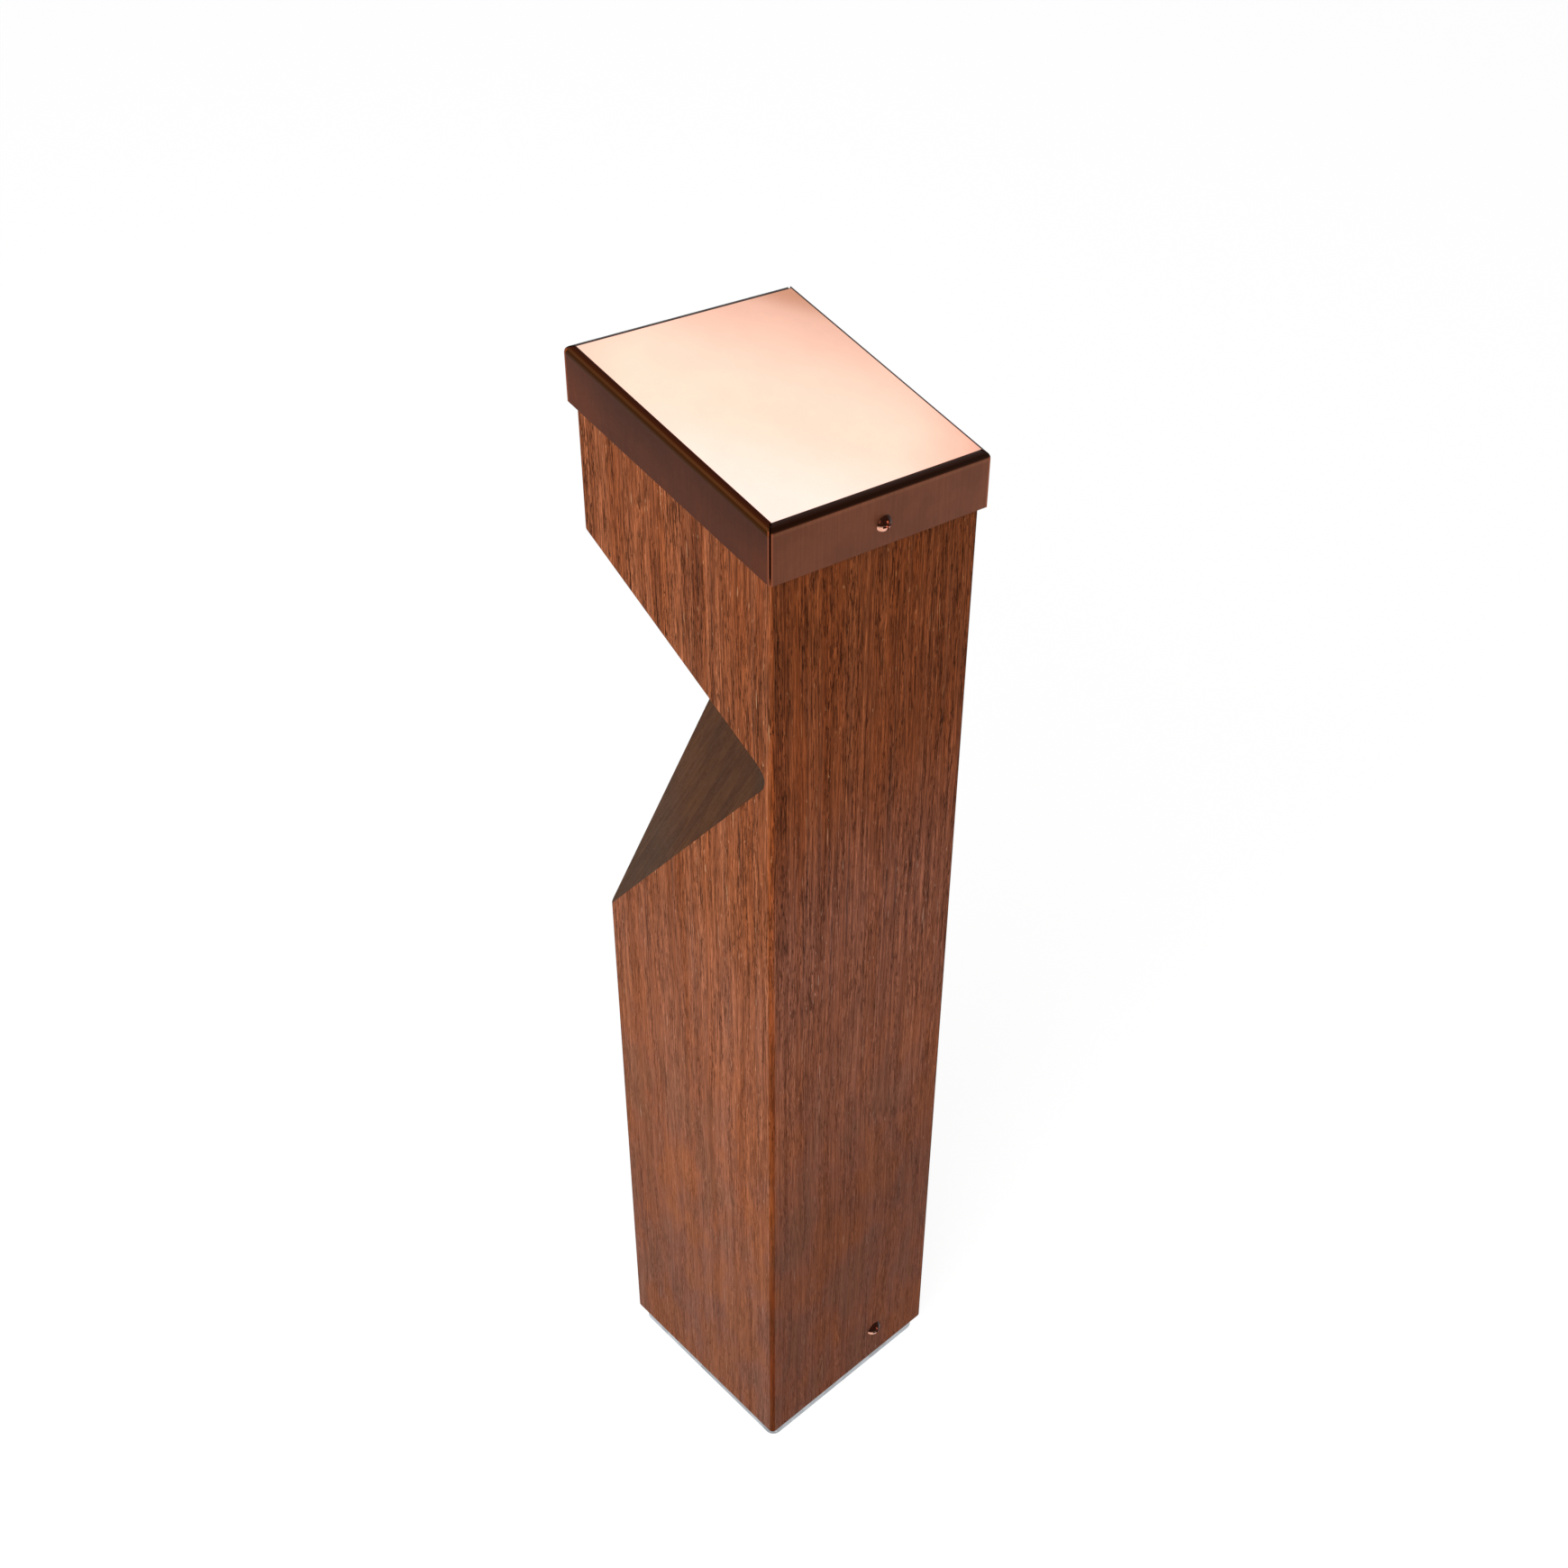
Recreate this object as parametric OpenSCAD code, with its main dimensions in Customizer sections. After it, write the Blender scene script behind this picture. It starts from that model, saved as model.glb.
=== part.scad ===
// Pillar light: a square hardwood post with a slanted folded copper cap and a notch cut across
// one corner. A sealed lamp shines down into the notch from the sloping underside of the head.
// The post drops over a tube on a flat ground plate and is locked there from the side.
// The origin is on the ground, at the centre of the post. The notch opens towards +X and -Y.

/* [Post] */
// Width of the square post
post_w = 90; // [90:1:120]
// Height of the middle of the cap above the ground
light_h = 500; // [360:5:1000]
// Rounding of the four long arrises
arris_r = 2; // [0.5:0.5:5]

/* [Head and notch] */
// Slope of the top, falling away from the notch corner, in degrees
top_pitch = 15.4; // [6:0.2:20]
// Depth of the valley of the notch below the middle of the cap
notch_drop = 103; // [98:0.5:130]
// Slope of the upper face of the notch, in degrees
upper_angle = 39.2; // [36:0.1:44]
// Slope of the lower face of the notch, in degrees
lower_angle = 63.4; // [50:0.2:70]
// Radius in the valley of the notch
valley_r = 8; // [4:0.5:12]

/* [Cap] */
// Thickness of the copper sheet
cap_t = 1; // [0.6:0.1:1.4]
// Clearance between the skirt and the post
cap_gap = 0.7; // [0.2:0.1:1]
// Height of the skirt
skirt_h = 21; // [18:0.5:26]
// Outer radius of the folds
fold_r = 2.6; // [2:0.1:4]
// Width of the open seam at each corner of the skirt
seam_w = 0.6; // [0.4:0.1:1.5]

/* [Cap screws] */
// Diameter of the shank
cap_screw_d = 3.5; // [2.5:0.1:4]
// Length under the head
cap_screw_l = 13; // [9:0.5:14]
// Diameter of the domed head
cap_head_d = 6; // [5:0.1:8]
// Height of the domed head
cap_head_h = 1.9; // [1.2:0.1:2.6]
// Distance of the screw below the upper edge of the skirt
cap_screw_drop = 12.5; // [12:0.1:14.5]

/* [Lamp body] */
// Diameter of the flange
flange_d = 50; // [49:0.5:53]
// Thickness of the flange
flange_t = 3; // [2.5:0.5:4]
// Diameter of the body
lamp_d = 34; // [33.5:0.1:35]
// Length of the body, with the flange
lamp_l = 34; // [33:0.5:38]
// Diameter of the light well
well_d = 28; // [27.5:0.1:28.4]
// Thickness of the metal behind the light well
lamp_floor_t = 12; // [10:0.5:12.5]
// Cooling grooves round the body
groove_n = 4; // [2:1:5]
// Width of a cooling groove
groove_w = 1.6; // [1:0.1:1.8]
// Depth of a cooling groove
groove_depth = 1.5; // [0.8:0.1:1.8]
// Thickness of the seal between the flange and the timber
flange_seal_t = 1; // [0.5:0.1:2]

/* [Lamp front] */
// Thickness of the front ring
bezel_t = 2.5; // [2:0.1:3.5]
// Diameter of the opening in the front ring
bezel_open_d = 27; // [24:0.5:28]
// Diameter of the glass
glass_d = 31; // [30.4:0.1:31.2]
// Thickness of the glass
glass_t = 3; // [2:0.5:4]
// Thickness of the seal behind the glass
glass_seal_t = 1; // [0.5:0.1:1.5]
// Diameter of the circle of screws in the flange
screw_circle_d = 43; // [42.5:0.1:43.5]
// Diameter of the screws in the front ring
bezel_screw_d = 2.5; // [2:0.1:2.6]
// Diameter of the screws that hold the lamp in the timber
lamp_screw_d = 3; // [2.5:0.1:3.2]
// Length of the screws that hold the lamp in the timber
lamp_screw_l = 18; // [12:1:20]
// Head diameter of a flush screw, as a share of its shank
flush_head_share = 1.8; // [1.6:0.05:1.9]

/* [Light source] */
// Diameter of the circuit board
board_d = 27; // [26:0.5:27.4]
// Thickness of the circuit board
board_t = 1.6; // [1:0.1:2]
// Thickness of the thermal pad under the board
thermal_pad_t = 0.5; // [0.3:0.1:1]
// Diameter of the light emitter
emitter_d = 9; // [6:0.5:10]
// Height of the light emitter
emitter_t = 0.8; // [0.5:0.1:1.5]
// Diameter of the screws of the circuit board
board_screw_d = 2.5; // [2:0.1:3]
// Length of the screws of the circuit board
board_screw_l = 6; // [5:0.5:9]
// Wall of the reflector
reflector_t = 1; // [0.8:0.1:1.2]

/* [Wiring] */
// Diameter of the wiring chamber under the cap
chamber_d = 46; // [46:0.5:48]
// Depth of the wiring chamber below the middle of the cap
chamber_depth = 32; // [31:0.5:34]
// Distance of the chamber behind the middle of the post
chamber_back = 10; // [8.5:0.5:10.5]
// Diameter of the cable bore in the post
bore_d = 14; // [13:0.5:15]
// Distance of the cable bore from the middle of the post, along each side
bore_offset = 15; // [15:0.5:16]
// Diameter of the lamp lead
lead_d = 3; // [2.5:0.1:3.4]
// Radius of the lead where it turns into the bore
lead_bend_r = 10; // [8:0.5:12]
// Distance of the cable gland from the middle of the lamp
gland_offset = 9.5; // [9:0.1:9.8]
// Width across the flats of the cable gland
gland_af = 12; // [11:0.5:12]
// Diameter of the thread of the cable gland
gland_thread_d = 8; // [7:0.5:8.5]
// Length, width and height of the driver
driver_l = 30; // [24:1:30]
driver_w = 13; // [10:0.5:13]
driver_h = 14; // [12:0.5:15]
// Length, width and height of the terminal block
block_l = 11; // [8:0.5:11.5]
block_w = 8; // [7:0.5:8.5]
block_h = 9; // [7:0.5:11]
// Width and thickness of the gasket round the chamber
cap_gasket_w = 4; // [3:0.5:5]
cap_gasket_t = 2; // [1:0.5:3]

/* [Ground plate] */
// Width of the square ground plate
plate_w = 86; // [80:1:90]
// Thickness of the ground plate
plate_t = 6; // [4:0.5:10]
// Diameter of the anchor holes
anchor_hole_d = 6.6; // [5:0.1:7]
// Distance between the anchor holes
anchor_pitch = 64; // [62:1:66]
// Thickness of the gasket under the post
foot_gasket_t = 2; // [1:0.5:4]
// Outer diameter of the spigot tube
spigot_d = 26.9; // [22:0.1:28]
// Wall of the spigot tube
spigot_wall = 2.3; // [1.5:0.1:2.6]
// Length of the spigot tube
spigot_l = 60; // [45:1:120]
// Clearance of the spigot in the post
spigot_gap = 0.3; // [0.1:0.1:0.6]
// Leg of the weld round the foot of the tube
weld_leg = 2.5; // [1:0.5:3]
// Diameter of the cable hole in the plate
cable_hole_d = 18; // [14:0.5:18]
// Bore of the grommet in the cable hole
grommet_bore_d = 8; // [6:0.5:10]

/* [Lock screws] */
// Height of the lock screws above the ground
lock_z = 27; // [24:1:40]
// Diameter of a lock screw
lock_screw_d = 4; // [3:0.5:5]
// Diameter of the domed head of a lock screw
lock_head_d = 7; // [6:0.5:9]
// Height of the domed head of a lock screw
lock_head_h = 2.2; // [1.5:0.1:3]

/* [Fits] */
// Clearance between pieces that are put together by hand
fit = 0.1; // [0.05:0.05:0.2]

/* [Hidden] */
$fn = 64;

// Overrun of every cut past the face that it opens
cut_over = 1;

// Places on the post. The diagonal runs from the middle of the post to its notch corner.
diagonal = post_w / sqrt(2);
notch_z = light_h - notch_drop;
post_z = plate_t + foot_gasket_t;
side_slope = tan(top_pitch) / sqrt(2);
reach = 2 * post_w;

// The cap
cap_half = post_w / 2 + cap_gap + cap_t;

// The lamp sits where a circle fits best in the triangular upper face of the notch
slope_length = diagonal / cos(upper_angle);
lamp_setback = 2 * diagonal * slope_length / (2 * diagonal + 2 * sqrt(diagonal ^ 2 + slope_length ^ 2));
recess_depth = flange_t + flange_seal_t;
pocket_gap = 2 * fit + lamp_d / 100;
pocket_depth = lamp_l + 4 * pocket_gap;
glass_pocket_d = glass_d + 4 * fit;
ledge_depth = glass_t + glass_seal_t;
well_end = lamp_l - lamp_floor_t;
board_back = well_end - thermal_pad_t;
board_front = board_back - board_t;
screw_angles = [90, 210, 330];

// The lead leaves the lamp by the gland and turns up into the cable bore
bore_back = bore_offset * sqrt(2);
lead_x0 = lamp_setback * cos(upper_angle) - gland_offset * cos(upper_angle);
lead_end = (lead_x0 + bore_back) / sin(upper_angle);
lead_tangent = lead_bend_r * tan(upper_angle / 2);
lead_z0 = notch_z + (lamp_setback - gland_offset) * sin(upper_angle);
bend_z = lead_z0 + lead_end * cos(upper_angle) + lead_tangent;
gland_hole_d = gland_af * 1.25;
gland_stub_l = gland_thread_d * 0.75;
gland_hex_t = gland_af / 4;
gland_collar_l = gland_af * 0.4;
gland_nut_l = gland_af * 0.6;
gland_bore_d = gland_thread_d * 0.62;

// The wiring chamber
chamber_z = light_h - chamber_depth;
driver_pad_t = driver_h / 14;
driver_x = chamber_d * 0.065 - chamber_back;
driver_z = chamber_z + driver_pad_t;
port_z = driver_z + driver_h * 0.62;
block_x = -chamber_back - block_l - chamber_d * 0.02;
block_y = bore_d / 2 + chamber_d * 0.04;
pole_y = [block_y + block_w * 0.24, block_y + block_w * 0.68];
link_d = lead_d / 2;
link_z = chamber_z + block_h * 0.45;
gasket_in_d = chamber_d / cos(top_pitch) + 2 * cap_gasket_t;
gasket_out_d = gasket_in_d + 2 * cap_gasket_w;

// The spigot and what it carries
spigot_bore_d = spigot_d + 2 * spigot_gap;
spigot_bore_top = plate_t + spigot_l + spigot_wall;
weld_clear = weld_leg + spigot_gap;
lock_screw_l = post_w / 2 - bore_offset - spigot_d / 2 + 1.5 * spigot_wall;
grommet_flange_t = spigot_wall / 2;
corner_signs = [-1, 1];

// Sides of the tube of the lamp lead, and its rings in the first bend
lead_sides = 10;
lead_steps = 4;

// Frames

// X runs along the diagonal towards the notch corner
module in_diagonal() {
    rotate([0, 0, -45]) children();
}

// Z stands square on the slanted top, outwards
module in_top() {
    translate([0, 0, light_h]) in_diagonal() rotate([0, -top_pitch, 0]) children();
}

// Z runs square into the upper face of the notch, from the middle of the lamp
module in_lamp() {
    translate([0, 0, notch_z])
        in_diagonal()
            translate([lamp_setback * cos(upper_angle), 0, lamp_setback * sin(upper_angle)])
                rotate([0, -upper_angle, 0])
                    children();
}

// The axis of the cable gland, in the frame of the lamp
module in_gland() {
    in_lamp() translate([-gland_offset, 0, 0]) children();
}

// The vertical axis of the cable bore
module in_bore() {
    translate([-bore_offset, bore_offset, 0]) children();
}

// The two back faces of the post, each with its Z pointing outwards
module on_back_faces(along, z, out) {
    translate([along, out, z]) rotate([-90, 0, 0]) children();
    translate([-out, -along, z]) rotate([0, -90, 0]) children();
}

// Shapes used more than once

// Square with round corners, from exact arcs
module soft_square(size, r) {
    x = size[0] / 2 - r;
    y = size[1] / 2 - r;
    square([size[0], 2 * y], center = true);
    square([2 * x, size[1]], center = true);
    for (i = corner_signs, j = corner_signs) translate([i * x, j * y]) circle(r = r);
}

module ring(d_out, d_in, h) {
    difference() {
        cylinder(d = d_out, h = h);
        translate([0, 0, -cut_over]) cylinder(d = d_in, h = h + 2 * cut_over);
    }
}

// Cross recess of a screw, cut down from z = 0
module cross_recess(d, depth) {
    for (a = [0, 90])
        rotate([0, 0, a])
            translate([-d * 0.3, -d * 0.06, -depth])
                cube([d * 0.6, d * 0.12, depth + cut_over]);
}

// Screw with a domed head, seated at z = 0 with its shank down
module dome_screw(d, l, head_d, head_h) {
    dome_r = (head_d ^ 2 / 4 + head_h ^ 2) / (2 * head_h);
    difference() {
        intersection() {
            translate([0, 0, head_h - dome_r]) sphere(r = dome_r);
            cylinder(d = head_d, h = head_h);
        }
        translate([0, 0, head_h]) cross_recess(head_d, head_h * 0.5);
    }
    screw_shank(d, l);
}

// Screw with a flush head, its face at z = 0 and its shank down
module flush_screw(d, l) {
    head = d * flush_head_share;
    head_h = (head - d) / 2;
    difference() {
        translate([0, 0, -head_h]) cylinder(d1 = d, d2 = head, h = head_h);
        cross_recess(head, head_h * 0.6);
    }
    translate([0, 0, -head_h]) screw_shank(d, l - head_h);
}

module screw_shank(d, l) {
    translate([0, 0, d - l]) cylinder(d = d, h = l - d);
    translate([0, 0, -l]) cylinder(d1 = d / 3, d2 = d, h = d);
}

// Hole and countersink for a flush screw whose face is at z = 0
module flush_hole(d, depth) {
    hole = d + 2 * fit;
    head = d * flush_head_share + 2 * fit;
    translate([0, 0, -depth]) cylinder(d = hole, h = depth + cut_over);
    translate([0, 0, -(head - hole) / 2]) cylinder(d1 = hole, d2 = head, h = (head - hole) / 2);
    cylinder(d = head, h = cut_over);
}

// Post

// Section of the notch, X outwards along the diagonal and Y up from the sharp valley
module notch_section() {
    half_open = (upper_angle + lower_angle) / 2;
    aim = (upper_angle - lower_angle) / 2;
    run = valley_r / tan(half_open);
    centre = valley_r / sin(half_open);
    polygon([
        [run * cos(upper_angle), run * sin(upper_angle)],
        [reach, reach * tan(upper_angle)],
        [reach, -reach * tan(lower_angle)],
        [run * cos(lower_angle), -run * sin(lower_angle)]
    ]);
    translate([centre * cos(aim), centre * sin(aim)]) circle(r = valley_r);
}

module notch_cut() {
    translate([0, 0, notch_z])
        in_diagonal()
            rotate([90, 0, 0])
                linear_extrude(height = reach, center = true)
                    notch_section();
}

module lamp_recess() {
    in_lamp() {
        translate([0, 0, -cut_over]) cylinder(d = flange_d + 4 * fit, h = recess_depth + cut_over);
        cylinder(d = lamp_d + 2 * pocket_gap, h = pocket_depth);
        for (a = screw_angles)
            rotate([0, 0, a + 60])
                translate([screw_circle_d / 2, 0, 0])
                    cylinder(d = lamp_screw_d, h = lamp_screw_l);
    }
    in_gland() cylinder(d = gland_hole_d, h = lead_end);
}

module spigot_bore() {
    in_bore() {
        cylinder(d = spigot_bore_d, h = spigot_bore_top);
        translate([0, 0, post_z - cut_over])
            cylinder(d = spigot_bore_d + 2 * weld_clear, h = weld_clear - foot_gasket_t + cut_over);
    }
}

module timber_post() {
    color("saddlebrown")
        difference() {
            intersection() {
                translate([0, 0, post_z])
                    linear_extrude(height = light_h)
                        soft_square([post_w, post_w], arris_r);
                cap_form(cap_t);
            }
            notch_cut();
            lamp_recess();
            translate([-chamber_back / sqrt(2), chamber_back / sqrt(2), chamber_z])
                cylinder(d = chamber_d, h = reach);
            in_top()
                translate([-chamber_back / cos(top_pitch), 0, -cap_t - cap_gasket_t])
                    cylinder(d = gasket_out_d + 2 * fit, h = reach);
            in_bore() cylinder(d = bore_d, h = light_h);
            spigot_bore();
            on_back_faces(0, cap_screw_z(), cap_half)
                translate([0, 0, -cap_screw_l]) cylinder(d = cap_screw_d, h = cap_screw_l);
            on_back_faces(-bore_offset, lock_z, post_w / 2)
                translate([0, 0, -lock_screw_l]) cylinder(d = lock_screw_d + 2 * fit, h = 2 * lock_screw_l);
        }
}

// Cap

// Height of the cap screws, below the upper edge of the skirt on the two back faces
function cap_screw_z() = light_h - side_slope * cap_half - cap_screw_drop;

// Filled section square to one edge of the cap, with its fold rounded. The edge is at the
// origin, the skirt runs down from it and the top runs inwards with the given slope.
module fold_section(slope, inset) {
    square_on = sqrt(1 + slope ^ 2);
    fold_z = -fold_r * (slope + square_on);
    centre = [-fold_r, fold_z];
    r = fold_r - inset;
    top_point = [centre[0] - r * slope / square_on, centre[1] + r / square_on];
    far = -2 * light_h;
    polygon([
        [-inset, far],
        [-inset, centre[1]],
        top_point,
        [far, top_point[1] + slope * (far - top_point[0])],
        [far, far]
    ]);
    translate(centre) circle(r = r);
}

// One side of the cap, filled. rise is the slope of the top across this edge, outwards, and
// run is its slope along the edge, both as signs of the slope of the top along a side.
module cap_side(angle, rise, run, inset) {
    tilt = atan(run * side_slope);
    rotate([0, 0, angle])
        translate([cap_half, 0, light_h + rise * side_slope * cap_half])
            rotate([tilt, 0, 0])
                rotate([90, 0, 0])
                    linear_extrude(height = 2 * reach, center = true)
                        fold_section(rise * side_slope * cos(tilt), inset);
}

module cap_form(inset) {
    intersection() {
        cap_side(0, 1, -1, inset);
        cap_side(90, -1, -1, inset);
        cap_side(180, -1, 1, inset);
        cap_side(270, 1, 1, inset);
    }
}

module copper_cap() {
    seam_l = 2 * fold_r * sqrt(2);
    color("peru")
        difference() {
            intersection() {
                cap_form(0);
                in_top()
                    translate([-reach, -reach, -skirt_h * cos(top_pitch)])
                        cube([2 * reach, 2 * reach, reach]);
            }
            cap_form(cap_t);
            for (a = [45, 135, 225, 315])
                rotate([0, 0, a])
                    translate([(cap_half - fold_r) * sqrt(2), -seam_w / 2, 0])
                        cube([seam_l, seam_w, 2 * light_h]);
            on_back_faces(0, cap_screw_z(), cap_half)
                translate([0, 0, -2 * cap_t]) cylinder(d = cap_screw_d + 2 * fit, h = 4 * cap_t);
        }
}

module cap_gasket() {
    color("dimgray")
        in_top()
            translate([-chamber_back / cos(top_pitch), 0, -cap_t - cap_gasket_t])
                ring(gasket_out_d, gasket_in_d, cap_gasket_t);
}

module cap_screws() {
    color("sienna")
        on_back_faces(0, cap_screw_z(), cap_half)
            dome_screw(cap_screw_d, cap_screw_l, cap_head_d, cap_head_h);
}

// Lamp, from the timber outwards

module lamp_housing() {
    groove_pitch = lamp_floor_t / groove_n * 0.9;
    color("dimgray")
        in_lamp()
            difference() {
                union() {
                    cylinder(d = flange_d, h = flange_t);
                    cylinder(d = lamp_d, h = lamp_l);
                }
                translate([0, 0, -cut_over]) cylinder(d = glass_pocket_d, h = ledge_depth + cut_over);
                cylinder(d = well_d, h = well_end);
                for (i = [1:groove_n])
                    translate([0, 0, lamp_l - i * groove_pitch])
                        ring(lamp_d + 2 * groove_w, lamp_d - 2 * groove_depth, groove_w);
                translate([-gland_offset, 0, 0]) {
                    cylinder(d = lead_d + 2 * fit, h = lamp_l + cut_over);
                    translate([0, 0, lamp_l - gland_stub_l])
                        cylinder(d = gland_thread_d + 2 * fit, h = gland_stub_l + cut_over);
                }
                for (a = screw_angles) {
                    rotate([0, 0, a])
                        translate([screw_circle_d / 2, 0, -cut_over])
                            cylinder(d = bezel_screw_d + 2 * fit, h = flange_t + 2 * cut_over);
                    rotate([0, 0, a + 60])
                        translate([screw_circle_d / 2, 0, 0])
                            mirror([0, 0, 1])
                                flush_hole(lamp_screw_d, flange_t + cut_over);
                }
                board_screw_places(board_front)
                    cylinder(d = board_screw_d, h = board_screw_l + cut_over / 2);
            }
}

module board_screw_places(z) {
    for (a = screw_angles)
        if (a != screw_angles[0])
            rotate([0, 0, a - screw_angles[0]])
                rotate([0, 0, screw_angles[0] / 3])
                    translate([board_d * 0.39, 0, z])
                        children();
}

module flange_seal() {
    color("dimgray")
        in_lamp()
            translate([0, 0, flange_t])
                difference() {
                    ring(flange_d, lamp_d + 2 * fit, flange_seal_t);
                    for (a = screw_angles)
                        rotate([0, 0, a + 60])
                            translate([screw_circle_d / 2, 0, -cut_over])
                                cylinder(d = lamp_screw_d + 2 * fit, h = 2 * cut_over + flange_seal_t);
                }
}

module lamp_screws() {
    color("silver")
        in_lamp()
            for (a = screw_angles)
                rotate([0, 0, a + 60])
                    translate([screw_circle_d / 2, 0, 0])
                        mirror([0, 0, 1])
                            flush_screw(lamp_screw_d, lamp_screw_l);
}

module lead_and_screw_holes(d_screw, z, t) {
    translate([-gland_offset, 0, z - cut_over]) cylinder(d = lead_d + 2 * fit, h = t + 2 * cut_over);
    board_screw_places(z - cut_over) cylinder(d = d_screw + 2 * fit, h = t + 2 * cut_over);
}

module thermal_pad() {
    color("lightgray")
        in_lamp()
            difference() {
                translate([0, 0, board_back]) cylinder(d = board_d, h = thermal_pad_t);
                lead_and_screw_holes(board_screw_d, board_back, thermal_pad_t);
            }
}

module led_board() {
    color("white")
        in_lamp()
            difference() {
                translate([0, 0, board_front]) cylinder(d = board_d, h = board_t);
                lead_and_screw_holes(board_screw_d, board_front, board_t);
            }
}

module led_emitter() {
    color("khaki")
        in_lamp()
            translate([0, 0, board_front - emitter_t]) cylinder(d = emitter_d, h = emitter_t);
}

module board_screws() {
    color("silver")
        in_lamp()
            board_screw_places(board_front)
                mirror([0, 0, 1])
                    dome_screw(board_screw_d, board_screw_l, board_screw_d * 1.6, board_screw_d * 0.5);
}

module reflector() {
    back_r = emitter_d / 2 + reflector_t;
    front_r = well_d / 2 - fit - reflector_t;
    front_z = glass_t + fit;
    back_z = board_front;
    color("silver")
        in_lamp()
            rotate_extrude()
                polygon([
                    [back_r, back_z],
                    [front_r, front_z],
                    [front_r + reflector_t, front_z],
                    [front_r + reflector_t, front_z + reflector_t],
                    [back_r + reflector_t, back_z]
                ]);
}

module glass_seal() {
    color("dimgray") in_lamp() translate([0, 0, glass_t]) ring(glass_d, well_d, glass_seal_t);
}

module front_glass() {
    color("lightcyan") in_lamp() cylinder(d = glass_d, h = glass_t);
}

module front_ring() {
    inner_r = bezel_open_d / 2;
    chamfer = bezel_t * 0.6;
    color("peru")
        in_lamp()
            difference() {
                rotate_extrude()
                    polygon([
                        [inner_r, 0],
                        [inner_r, chamfer - bezel_t],
                        [inner_r + chamfer, -bezel_t],
                        [flange_d / 2 - chamfer / 3, -bezel_t],
                        [flange_d / 2, chamfer / 3 - bezel_t],
                        [flange_d / 2, 0]
                    ]);
                for (a = screw_angles)
                    rotate([0, 0, a])
                        translate([screw_circle_d / 2, 0, -bezel_t])
                            mirror([0, 0, 1])
                                flush_hole(bezel_screw_d, bezel_t + cut_over);
            }
}

module ring_screws() {
    color("sienna")
        in_lamp()
            for (a = screw_angles)
                rotate([0, 0, a])
                    translate([screw_circle_d / 2, 0, -bezel_t])
                        mirror([0, 0, 1])
                            flush_screw(bezel_screw_d, bezel_t + flange_t);
}

// Cable gland and lead

module gland_body() {
    collar_d = gland_thread_d + gland_af / 10;
    color("silver")
        in_gland()
            difference() {
                union() {
                    translate([0, 0, lamp_l - gland_stub_l]) cylinder(d = gland_thread_d, h = gland_stub_l);
                    translate([0, 0, lamp_l]) cylinder(d = gland_af / cos(30), h = gland_hex_t, $fn = 6);
                    translate([0, 0, lamp_l]) cylinder(d = collar_d, h = gland_hex_t + gland_collar_l);
                }
                cylinder(d = gland_bore_d, h = reach);
            }
}

module gland_seal() {
    color("dimgray")
        in_gland()
            translate([0, 0, lamp_l])
                ring(gland_bore_d, lead_d, gland_hex_t + gland_collar_l);
}

module gland_nut() {
    collar_d = gland_thread_d + gland_af / 10;
    color("silver")
        in_gland()
            translate([0, 0, lamp_l + gland_hex_t])
                difference() {
                    cylinder(d = gland_af / cos(30), h = gland_nut_l, $fn = 6);
                    cylinder(d = collar_d + 2 * fit, h = 2 * gland_collar_l, center = true);
                    cylinder(d = lead_d + 2 * fit, h = reach);
                }
}

// Tube round a route in the plane of the diagonal. Each stop of the route is the height and
// the place along the diagonal of one ring, and the direction of the tube there.
module swept_tube(route, d) {
    n = len(route);
    points = [
        for (stop = route, k = [0:lead_sides - 1])
            let (a = 360 * k / lead_sides, side = d / 2 * cos(a))
            [stop[0] - side * sin(stop[2]), d / 2 * sin(a), stop[1] + side * cos(stop[2])]
    ];
    walls = [
        for (i = [0:n - 2], k = [0:lead_sides - 1])
            let (next = (k + 1) % lead_sides, low = i * lead_sides, high = low + lead_sides)
            each [[low + k, low + next, high + k], [high + k, low + next, high + next]]
    ];
    first = [for (k = [lead_sides - 1:-1:0]) k];
    last = [for (k = [0:lead_sides - 1]) (n - 1) * lead_sides + k];
    polyhedron(points = points, faces = concat([first], walls, [last]), convexity = 4);
}

// The lead leaves the board, turns up into the bore and turns again to the driver
module lamp_lead() {
    axis = 90 + upper_angle;
    start_x = lead_x0 - board_front * sin(upper_angle);
    start_z = lead_z0 + board_front * cos(upper_angle);
    turn_r = (bore_back + driver_x) / 2;
    route = concat(
        [[start_x, start_z, axis]],
        [
            for (i = [0:lead_steps])
                let (a = upper_angle * (1 - i / lead_steps))
                [lead_bend_r * (1 - cos(a)) - bore_back, bend_z - lead_bend_r * sin(a), 90 + a]
        ],
        [
            for (i = [0:2 * lead_steps])
                let (a = 90 * (1 - i / lead_steps / 2))
                [turn_r * (1 - sin(a)) - bore_back, port_z - turn_r * (1 - cos(a)), a]
        ],
        [[driver_x, port_z, 0]]
    );
    color("dimgray") in_diagonal() swept_tube(route, lead_d);
}

// Wiring chamber

module led_driver() {
    color("black")
        in_diagonal()
            translate([driver_x + driver_w / 2, 0, driver_z])
                linear_extrude(height = driver_h)
                    soft_square([driver_w, driver_l], driver_w / 8);
}

module driver_pad() {
    color("lightgray")
        in_diagonal()
            translate([driver_x + driver_w / 2, 0, chamber_z])
                linear_extrude(height = driver_pad_t)
                    square([driver_w * 0.8, driver_l * 0.9], center = true);
}

module link_wires() {
    color("red")
        in_diagonal()
            for (y = pole_y)
                translate([block_x + block_l, y, link_z])
                    rotate([0, 90, 0])
                        cylinder(d = link_d, h = driver_x - block_x - block_l);
}

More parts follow.
